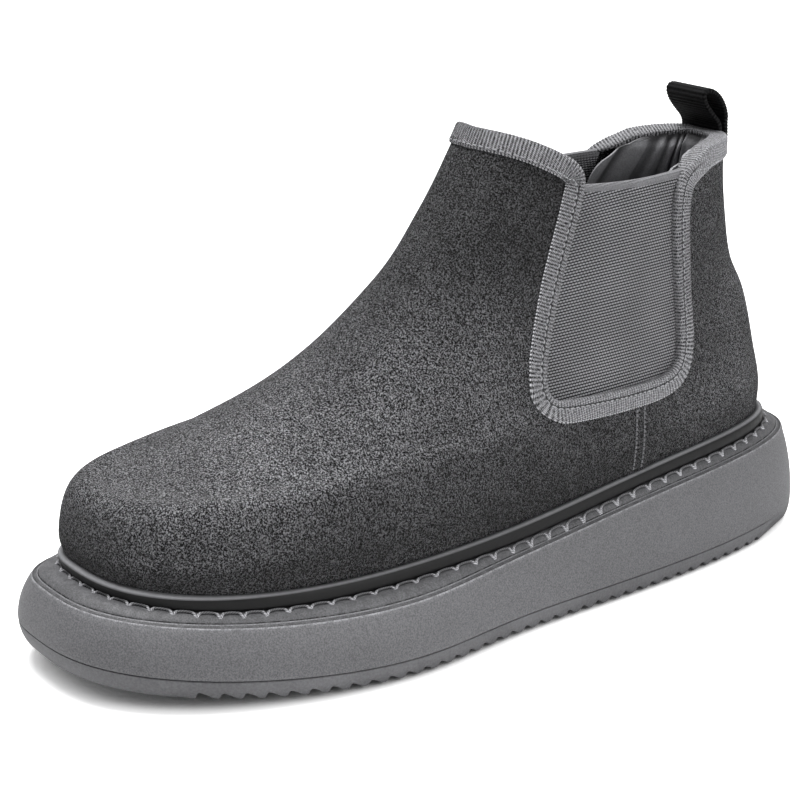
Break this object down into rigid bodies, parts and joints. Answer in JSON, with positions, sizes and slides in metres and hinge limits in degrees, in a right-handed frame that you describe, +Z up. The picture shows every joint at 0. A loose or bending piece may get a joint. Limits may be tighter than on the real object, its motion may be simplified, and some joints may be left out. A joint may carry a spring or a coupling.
{
  "type": "chelsea boot",
  "caption": "Ankle-high pull-on suede boot with elastic side gores, ribbed edge binding, a rear pull loop and a thick stitched cup sole with ripple tread.",
  "frame": {"origin": "on the ground-contact face of the tread rib under the middle of the sole length, in the plane that runs from the middle of the heel to the toe tip", "axes": "+Z up, -Y towards the toe, +X towards the outer side of the left foot"},
  "size_m": [0.1171, 0.3044, 0.1613],
  "materials": {
    "outsole_rubber": "matt moulded rubber",
    "midsole_foam": "matt moulded foam with a fine speckle",
    "rand_rubber": "satin",
    "welt_thread": "waxed thread",
    "spring_steel": "brushed",
    "cork_filler": "granular",
    "fibre_board": "pressed fibre",
    "footbed_foam": "knit cover on foam",
    "suede": "brushed nap",
    "stiffener": "matt",
    "collar_foam": "open-cell foam",
    "textile_lining": "fine weave",
    "leather_lining": "soft grain",
    "gore_elastic": "knitted elastic",
    "grosgrain": "ribbed ribbon",
    "fine_thread": "sewing thread",
    "seam_thread": "sewing thread",
    "tab_webbing": "ribbed webbing"
  },
  "bodies": {
    "boot": {"outsole": "outsole_rubber", "midsole": "midsole_foam", "rand": "rand_rubber", "sole_stitching": "welt_thread", "shank": "spring_steel", "bottom_filler": "cork_filler", "insole_board": "fibre_board", "vamp": "suede", "quarter": "suede", "toe_puff": "stiffener", "heel_counter": "stiffener", "collar_foam": "collar_foam", "vamp_lining": "textile_lining", "quarter_lining": "leather_lining", "gore_lateral": "gore_elastic", "gore_medial": "gore_elastic", "binding_back": "grosgrain", "binding_stitching_back": "fine_thread", "seam_stitching": "seam_thread", "pull_tab_tails": "tab_webbing", "pull_tab_stitching": "fine_thread"},
    "front_shaft": {"vamp_shaft": "suede", "shaft_lining": "textile_lining", "binding_front": "grosgrain", "binding_stitching_front": "fine_thread"},
    "pull_tab": {"pull_tab": "tab_webbing"},
    "footbed": {"footbed": "footbed_foam"}
  },
  "joints": [
    {"name": "front_shaft_open", "type": "hinge", "parent": "boot", "child": "front_shaft", "pos_m": [0, -0.0275, 0.1013], "axis": [1, 0, 0], "range_deg": [0, 9], "stiffness_Nm_per_rad": 0.6, "deforming": ["gore_lateral", "gore_medial"]},
    {"name": "pull_tab_swing", "type": "hinge", "parent": "boot", "child": "pull_tab", "pos_m": [0, 0.11555, 0.1475], "axis": [1, 0, 0], "range_deg": [-50, 35], "stiffness_Nm_per_rad": 0.01},
    {"name": "footbed_lift", "type": "hinge", "parent": "boot", "child": "footbed", "pos_m": [0, -0.1275, 0.0318], "axis": [1, 0, 0], "range_deg": [0, 4]}
  ]
}
